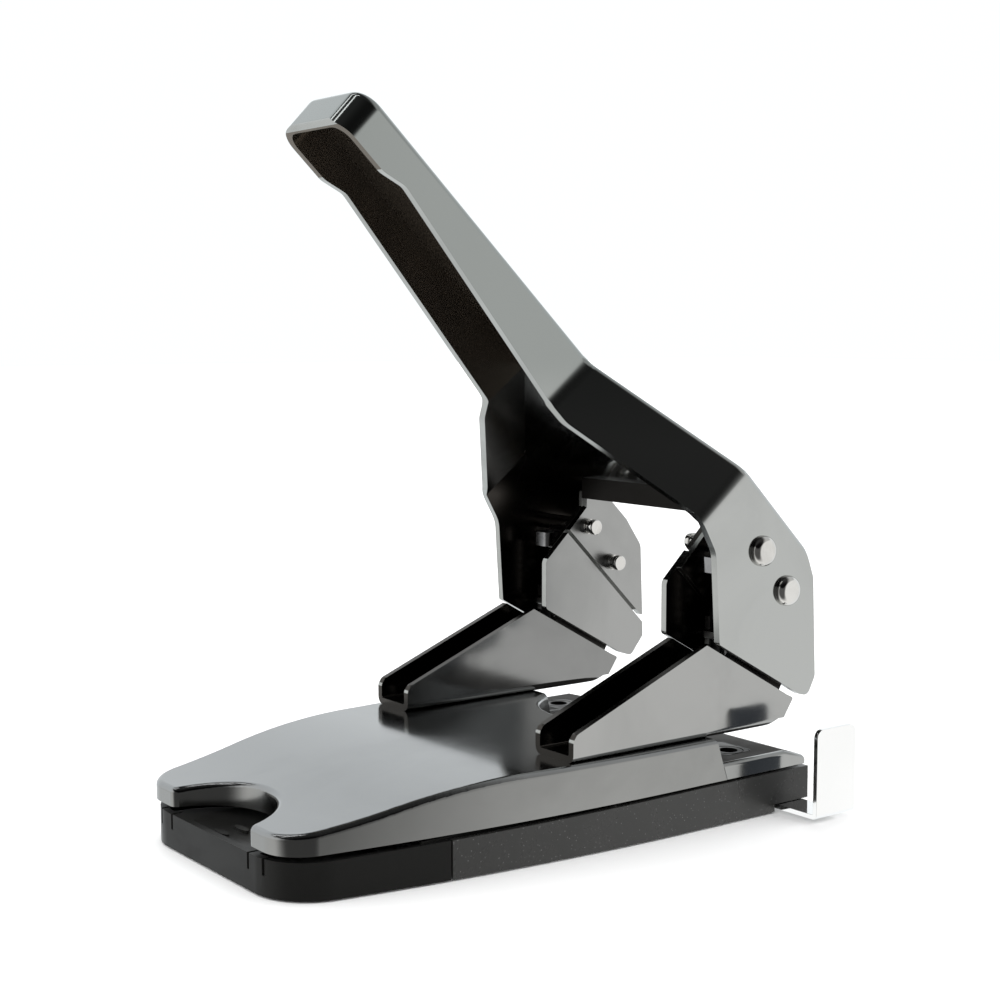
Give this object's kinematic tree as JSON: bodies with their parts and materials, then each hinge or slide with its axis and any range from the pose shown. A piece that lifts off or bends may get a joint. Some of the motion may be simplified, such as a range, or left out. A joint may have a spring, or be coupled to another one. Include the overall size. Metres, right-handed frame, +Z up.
{
  "type": "two-hole paper punch",
  "caption": "Heavy-duty lever paper punch with a folded sheet-steel handle, towers over the dies, a pull-out chip tray and a sliding paper guide.",
  "frame": {"origin": "on the floor, under the middle of the line between the two holes", "axes": "+Z up; +Y towards the side where the paper goes in; -Y towards the end where the lever is pressed; +X to the side with the paper guide's fence"},
  "size_m": [0.1212, 0.1757, 0.2035],
  "materials": {
    "black_moulding": "satin",
    "polished_steel": "polished",
    "handle_steel": "polished",
    "bright_steel": "polished",
    "bracket_steel": "satin",
    "hardened_steel": "ground",
    "spring_steel": "drawn",
    "fastener_steel": "satin",
    "bush_brass": "turned",
    "foot_rubber": "matt"
  },
  "bodies": {
    "base": {"base_frame": "black_moulding", "cover_plate": "polished_steel", "die_plate": "polished_steel", "die_insert_left": "hardened_steel", "die_insert_right": "hardened_steel", "wedge_frame_left": "polished_steel", "wedge_frame_right": "polished_steel", "punch_bracket_left": "bracket_steel", "punch_bracket_right": "bracket_steel", "guide_plate_left": "bracket_steel", "guide_plate_right": "bracket_steel", "guide_bush_left": "bush_brass", "guide_bush_right": "bush_brass", "pivot_bush_left": "bush_brass", "pivot_bush_right": "bush_brass", "frame_screws": "fastener_steel", "spacer_sleeves": "fastener_steel", "frame_nuts": "fastener_steel", "base_screws": "fastener_steel", "rear_foot": "foot_rubber"},
    "lever": {"handle": "handle_steel", "inner_bracket_left": "handle_steel", "inner_bracket_right": "handle_steel", "pivot_pin_left": "bright_steel", "pivot_pin_right": "bright_steel", "drive_pin_left": "bright_steel", "drive_pin_right": "bright_steel", "pivot_spacer_left": "bush_brass", "pivot_spacer_right": "bush_brass"},
    "cutter_left": {"punch_left": "hardened_steel", "punch_spring_left": "spring_steel"},
    "cutter_right": {"punch_right": "hardened_steel", "punch_spring_right": "spring_steel"},
    "tray": {"chip_tray": "black_moulding", "front_feet": "foot_rubber"},
    "guide": {"paper_guide": "bright_steel"}
  },
  "joints": [
    {"name": "lever_press", "type": "hinge", "parent": "base", "child": "lever", "pos_m": [0, 0.011, 0.0661], "axis": [1, 0, 0], "range_deg": [0, 45], "stiffness_Nm_per_rad": 0.5, "springref_deg": -51.57},
    {"name": "cutter_left_stroke", "type": "slide", "parent": "base", "child": "cutter_left", "axis": [0, 0, -1], "range_m": [0, 0.011], "deforming": ["punch_spring_left"]},
    {"name": "cutter_right_stroke", "type": "slide", "parent": "base", "child": "cutter_right", "axis": [0, 0, -1], "range_m": [0, 0.011], "deforming": ["punch_spring_right"]},
    {"name": "tray_pull", "type": "slide", "parent": "base", "child": "tray", "axis": [0, -1, 0], "range_m": [0, 0.1]},
    {"name": "guide_pull", "type": "slide", "parent": "base", "child": "guide", "axis": [1, 0, 0], "range_m": [0, 0.083]}
  ],
  "couplings": [
    {"joint": "cutter_left_stroke", "follows": "lever_press", "m_per_rad": 0.01385},
    {"joint": "cutter_right_stroke", "follows": "lever_press", "m_per_rad": 0.01385}
  ]
}
